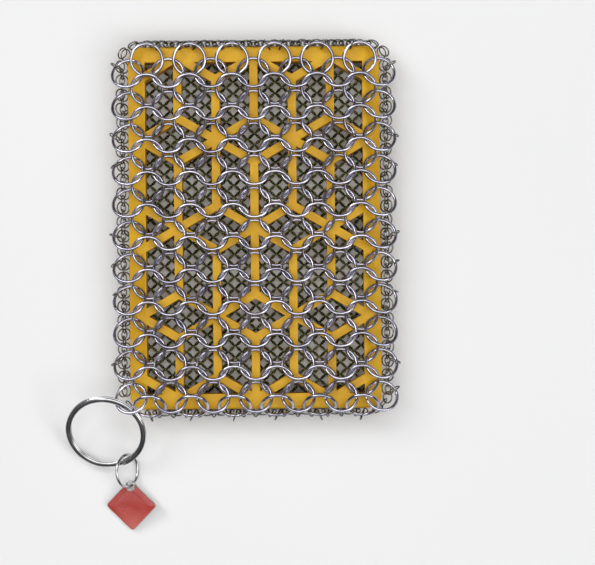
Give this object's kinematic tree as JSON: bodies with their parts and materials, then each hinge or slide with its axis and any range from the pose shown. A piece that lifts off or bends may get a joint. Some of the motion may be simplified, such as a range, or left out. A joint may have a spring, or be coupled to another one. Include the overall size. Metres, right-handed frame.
{
  "type": "chain-mail pot scrubber",
  "caption": "Flat scrubber pad: a pierced silicone grid wrapped in steel ring mail, coarse rings in front and fine rings behind, with a split ring and a diamond tag at one corner.",
  "frame": {"origin": "centre of the pad on the plane that its back rests on", "axes": "+Z out of the coarse-ring face, +Y along the pad's length towards the end away from the split ring, +X across the pad"},
  "size_m": [0.1034, 0.1507, 0.0161],
  "materials": {
    "silicone": "matte",
    "large_rings": "polished",
    "small_rings": "polished",
    "key_ring": "bright",
    "jump_ring": "bright",
    "charm_metal": "satin",
    "enamel": "gloss"
  },
  "bodies": {
    "scrubber": {"back_mail_01": "small_rings", "back_mail_02": "small_rings", "back_mail_03": "small_rings", "back_mail_04": "small_rings", "back_mail_05": "small_rings", "back_mail_06": "small_rings", "back_mail_07": "small_rings", "back_mail_08": "small_rings", "back_mail_09": "small_rings", "back_mail_10": "small_rings", "back_mail_11": "small_rings", "back_mail_12": "small_rings", "back_mail_13": "small_rings", "back_mail_14": "small_rings", "back_mail_15": "small_rings", "back_mail_16": "small_rings", "corner_ring": "large_rings", "edge_links_bottom": "small_rings", "edge_links_left": "small_rings", "edge_links_right": "small_rings", "edge_links_top": "small_rings", "front_links_bottom": "small_rings", "front_links_left": "small_rings", "front_links_right": "small_rings", "front_links_top": "small_rings", "large_row_01": "large_rings", "large_row_02": "large_rings", "large_row_03": "large_rings", "large_row_04": "large_rings", "large_row_05": "large_rings", "large_row_06": "large_rings", "large_row_07": "large_rings", "large_row_08": "large_rings", "large_row_09": "large_rings", "large_row_10": "large_rings", "large_row_11": "large_rings", "large_row_12": "large_rings", "large_row_13": "large_rings", "large_row_14": "large_rings", "large_row_15": "large_rings", "large_row_16": "large_rings", "large_row_17": "large_rings", "large_row_18": "large_rings", "large_row_19": "large_rings", "large_row_20": "large_rings", "large_row_21": "large_rings", "large_row_22": "large_rings", "large_row_23": "large_rings", "side_mail_bottom": "small_rings", "side_mail_left": "small_rings", "side_mail_right": "small_rings", "side_mail_top": "small_rings", "silicone_insert": "silicone"},
    "key_ring": {"key_ring": "key_ring"},
    "jump_ring": {"jump_ring": "jump_ring"},
    "charm": {"charm_plate": "charm_metal", "charm_enamel": "enamel"}
  },
  "joints": [
    {"name": "key_ring_swing", "type": "hinge", "parent": "scrubber", "child": "key_ring", "pos_m": [-0.03999, -0.05417, 0.01377], "axis": [-0.8313, 0.5316, 0.1621], "range_deg": [-30, 75]},
    {"name": "jump_ring_swing", "type": "hinge", "parent": "key_ring", "child": "jump_ring", "pos_m": [-0.04002, -0.07144, 0.00486], "axis": [-0.8393, -0.4288, -0.3343], "range_deg": [-45, 45]},
    {"name": "charm_swing", "type": "hinge", "parent": "jump_ring", "child": "charm", "pos_m": [-0.03911, -0.0793, 0.00361], "axis": [-0.559, -0.309, 0.7694], "range_deg": [-40, 25]}
  ]
}
